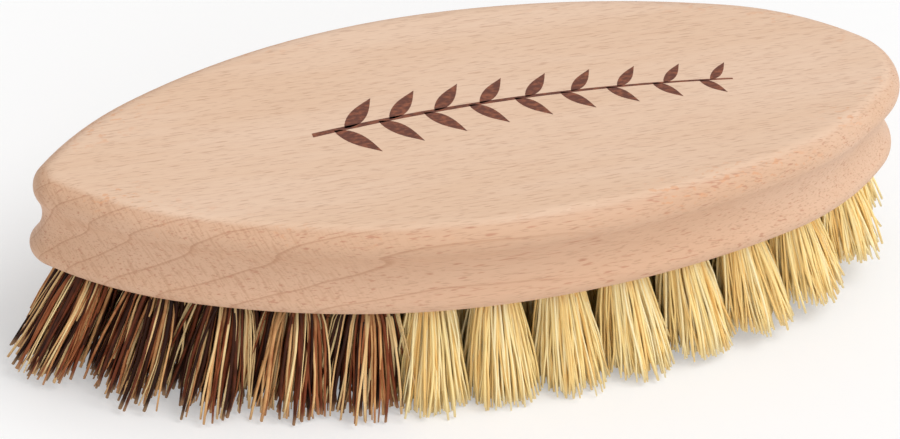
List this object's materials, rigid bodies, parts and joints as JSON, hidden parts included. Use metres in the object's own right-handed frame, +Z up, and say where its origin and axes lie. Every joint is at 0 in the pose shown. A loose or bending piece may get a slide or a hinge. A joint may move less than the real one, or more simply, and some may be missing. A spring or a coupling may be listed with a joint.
{
  "type": "vegetable brush",
  "caption": "Hand-held oval vegetable brush: a moulded beech block with a finger groove round its side, filled with stapled tufts of a firm brown and a soft pale plant fibre.",
  "frame": {"origin": "middle of the brush's bounding box, on the plane of the fibre tips, on which the brush stands", "axes": "+X along the block towards its round end and pale fibres, +Y across the block, +Z up from the fibre tips to the flat top"},
  "size_m": [0.1401, 0.052, 0.0362],
  "materials": {
    "beech": "fine-sanded and lightly oiled, satin",
    "union_fibre": "coarse mixed plant fibre, dark brown to straw, matt",
    "tampico_fibre": "pale straw plant fibre, matt to satin",
    "steel_wire": "drawn galvanised wire"
  },
  "bodies": {
    "root": {"brush_block": "beech", "anchor_staples": "steel_wire", "union_tuft_01": "union_fibre", "union_tuft_02": "union_fibre", "union_tuft_03": "union_fibre", "union_tuft_04": "union_fibre", "union_tuft_05": "union_fibre", "union_tuft_06": "union_fibre", "union_tuft_07": "union_fibre", "union_tuft_08": "union_fibre", "union_tuft_09": "union_fibre", "union_tuft_10": "union_fibre", "union_tuft_11": "union_fibre", "union_tuft_12": "union_fibre", "union_tuft_13": "union_fibre", "union_tuft_14": "union_fibre", "union_tuft_15": "union_fibre", "union_tuft_16": "union_fibre", "tampico_tuft_01": "tampico_fibre", "tampico_tuft_02": "tampico_fibre", "tampico_tuft_03": "tampico_fibre", "tampico_tuft_04": "tampico_fibre", "tampico_tuft_05": "tampico_fibre", "tampico_tuft_06": "tampico_fibre", "tampico_tuft_07": "tampico_fibre", "tampico_tuft_08": "tampico_fibre", "tampico_tuft_09": "tampico_fibre", "tampico_tuft_10": "tampico_fibre", "tampico_tuft_11": "tampico_fibre", "tampico_tuft_12": "tampico_fibre", "tampico_tuft_13": "tampico_fibre", "tampico_tuft_14": "tampico_fibre", "tampico_tuft_15": "tampico_fibre", "tampico_tuft_16": "tampico_fibre", "tampico_tuft_17": "tampico_fibre", "tampico_tuft_18": "tampico_fibre", "tampico_tuft_19": "tampico_fibre", "tampico_tuft_20": "tampico_fibre", "tampico_tuft_21": "tampico_fibre", "tampico_tuft_22": "tampico_fibre", "tampico_tuft_23": "tampico_fibre", "tampico_tuft_24": "tampico_fibre", "tampico_tuft_25": "tampico_fibre", "tampico_tuft_26": "tampico_fibre", "tampico_tuft_27": "tampico_fibre", "tampico_tuft_28": "tampico_fibre", "tampico_tuft_29": "tampico_fibre", "tampico_tuft_30": "tampico_fibre", "tampico_tuft_31": "tampico_fibre", "tampico_tuft_32": "tampico_fibre"}
  },
  "joints": []
}
